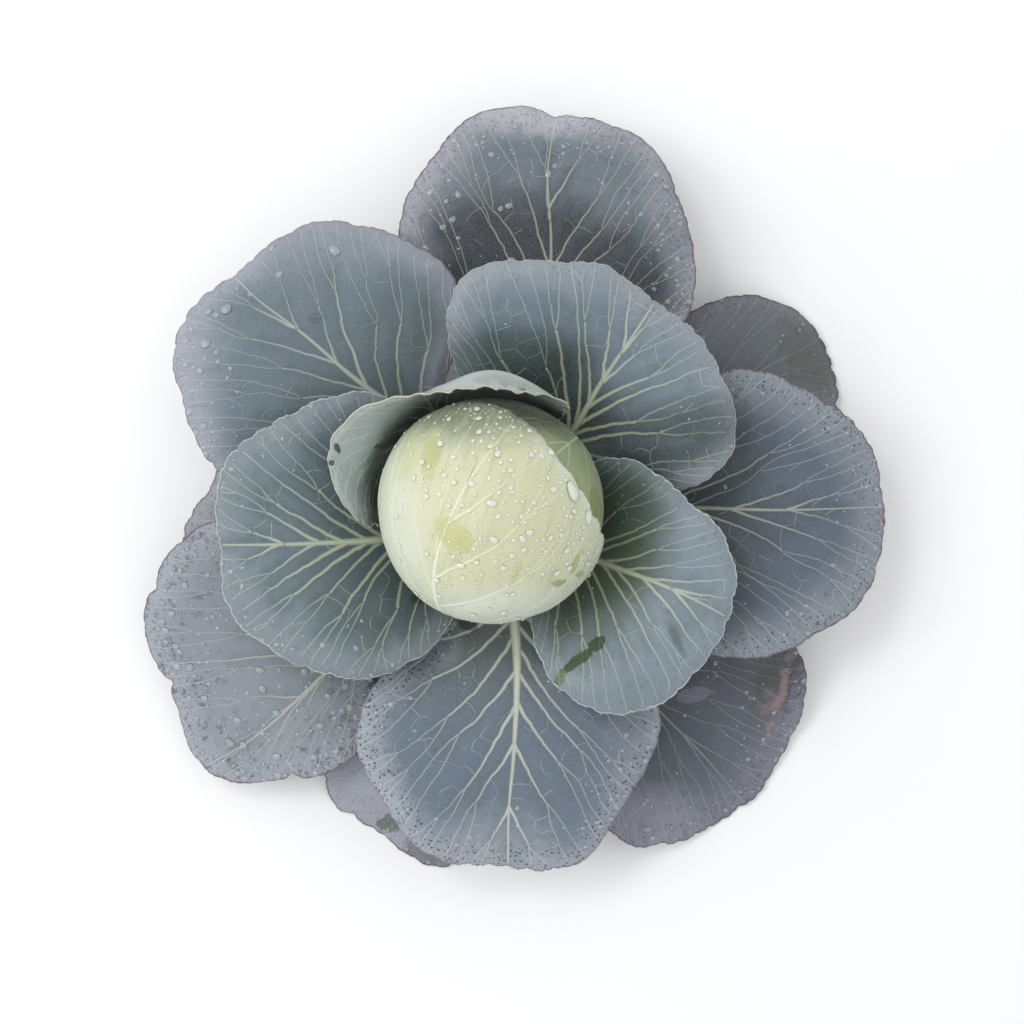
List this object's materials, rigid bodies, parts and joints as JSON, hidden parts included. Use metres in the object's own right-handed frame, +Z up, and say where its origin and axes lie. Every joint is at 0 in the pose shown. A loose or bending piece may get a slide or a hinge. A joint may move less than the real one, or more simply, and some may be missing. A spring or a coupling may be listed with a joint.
{
  "type": "cabbage",
  "caption": "Whole cabbage as picked: a ball-shaped head in a wide rosette of open, veined blue-green leaves, resting on its cut stem.",
  "frame": {"origin": "centre of the stem's flat cut face, on which the cabbage rests", "axes": "+Z up along the stem and through the head; +X towards the leaf called leaf_right; +Y towards leaf_top, away from leaf_bottom"},
  "size_m": [0.5372, 0.561, 0.1889],
  "materials": {
    "stem_flesh": "moist cut stem, pale green-white, matte",
    "heart_leaf": "pale yellow-green waxy leaf",
    "head_leaf": "pale yellow-green waxy leaf with whitish bloom, satin",
    "inner_leaf": "blue-green waxy leaf with whitish bloom, satin",
    "outer_leaf": "blue-grey waxy leaf with whitish bloom, satin",
    "low_leaf": "purple-grey waxy leaf with whitish bloom, satin",
    "leaf_vein": "pale yellow-green leaf rib, satin",
    "water": "clear water drops, glossy"
  },
  "bodies": {
    "root": {"cut_stem": "stem_flesh", "heart": "heart_leaf", "head_leaf_back": "head_leaf", "head_leaf_front": "head_leaf", "curled_wrapper_leaf": "inner_leaf", "leaf_upper_right": "inner_leaf", "leaf_left": "inner_leaf", "leaf_lower_right": "inner_leaf", "leaf_upper_left": "outer_leaf", "leaf_bottom": "outer_leaf", "leaf_top": "outer_leaf", "leaf_right": "outer_leaf", "leaf_lower_left": "low_leaf", "leaf_dark_right": "low_leaf", "leaf_bottom_right": "low_leaf", "leaf_left_low": "low_leaf", "leaf_bottom_low": "low_leaf"}
  },
  "joints": []
}
